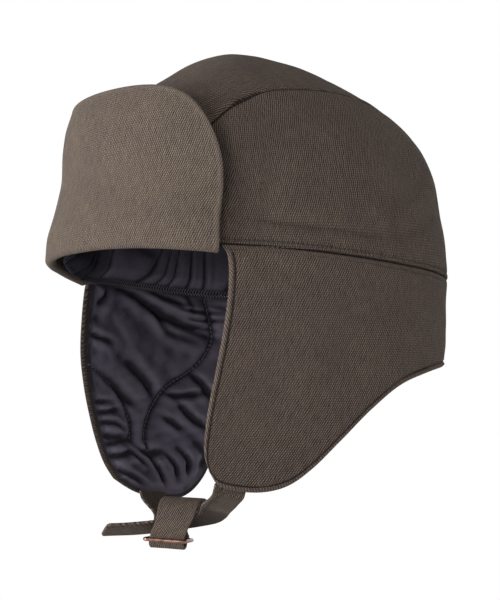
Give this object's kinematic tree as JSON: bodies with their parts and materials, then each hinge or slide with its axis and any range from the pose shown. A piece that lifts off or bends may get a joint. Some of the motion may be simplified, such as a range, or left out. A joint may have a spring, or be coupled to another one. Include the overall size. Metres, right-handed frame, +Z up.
{
  "type": "trooper hat",
  "caption": "Winter trooper hat with a domed crown, a turned-up peak, long ear flaps, a padded lining and a chin strap closed by a wire slide.",
  "frame": {"origin": "centre of the head opening, level with the seam between the crown and the ear flaps", "axes": "+X to the wearer's left, +Y to the back of the head, +Z up through the crown"},
  "size_m": [0.1754, 0.2259, 0.2634],
  "materials": {
    "twill": "matte cotton twill, brushed by wear",
    "satin": "satin lining over padding, soft sheen",
    "copper": "antique copper plate on wire, satin"
  },
  "bodies": {
    "root": {"crown_centre_strip": "twill", "crown_side_left": "twill", "crown_side_right": "twill", "peak": "twill", "ear_flap_left": "twill", "ear_flap_right": "twill", "crown_lining": "satin", "flap_lining_left": "satin", "flap_lining_right": "satin", "strap_left": "twill", "strap_right": "twill", "slide": "copper"}
  },
  "joints": []
}
